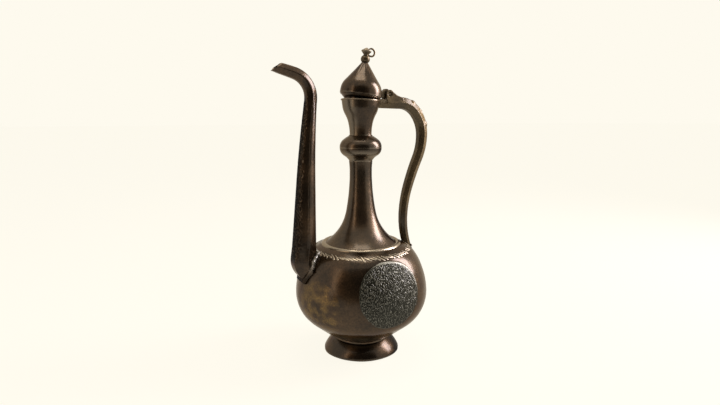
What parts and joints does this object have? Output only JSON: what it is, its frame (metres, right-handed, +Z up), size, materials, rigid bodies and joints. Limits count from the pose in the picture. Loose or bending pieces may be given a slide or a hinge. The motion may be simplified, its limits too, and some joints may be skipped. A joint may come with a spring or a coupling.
{
  "type": "long-spouted metal ewer",
  "caption": "Round-bellied metal ewer on a flared foot, with a slender knopped neck, a long bent spout, an S-shaped handle and a hinged domed lid, for pouring coffee or water.",
  "frame": {"origin": "on the pot's axis, at the resting face of its foot", "axes": "+Z up along the pot's axis, +X towards the handle, so the spout points to -X, and +Y across the pot"},
  "size_m": [0.1821, 0.1452, 0.3295],
  "materials": {
    "beaten_bronze": "dark patina, worn lighter on the edges",
    "spout_bronze": "dark patina with chased scrolls",
    "cast_bronze": "dark patina, polished by handling",
    "bronze_wire": "worn bright",
    "solder": "dull grey, rough"
  },
  "bodies": {
    "pot": {"foot": "beaten_bronze", "foot_collar": "solder", "bowl_bottom": "beaten_bronze", "bowl": "beaten_bronze", "bowl_shoulder": "beaten_bronze", "shoulder_ring": "bronze_wire", "neck": "beaten_bronze", "knop_lower": "beaten_bronze", "knop_upper": "beaten_bronze", "mouth_cup": "beaten_bronze", "rim_wire": "bronze_wire", "spout": "spout_bronze", "spout_solder": "solder", "handle": "cast_bronze", "handle_rivets": "cast_bronze", "hinge_pin": "cast_bronze"},
    "lid": {"lid_dome": "beaten_bronze", "lid_bezel": "beaten_bronze", "lid_strap": "cast_bronze", "finial_bead": "cast_bronze", "finial_bud": "cast_bronze"},
    "ring": {"finial_ring": "bronze_wire"}
  },
  "joints": [
    {"name": "lid_hinge", "type": "hinge", "parent": "pot", "child": "lid", "pos_m": [0.033, 0, 0.2824], "axis": [0, 1, 0], "range_deg": [0, 110]},
    {"name": "ring_swing", "type": "hinge", "parent": "lid", "child": "ring", "pos_m": [0.00895, 0, 0.32521], "axis": [0.1564, 0, 0.9877], "range_deg": [-20, 20]}
  ]
}
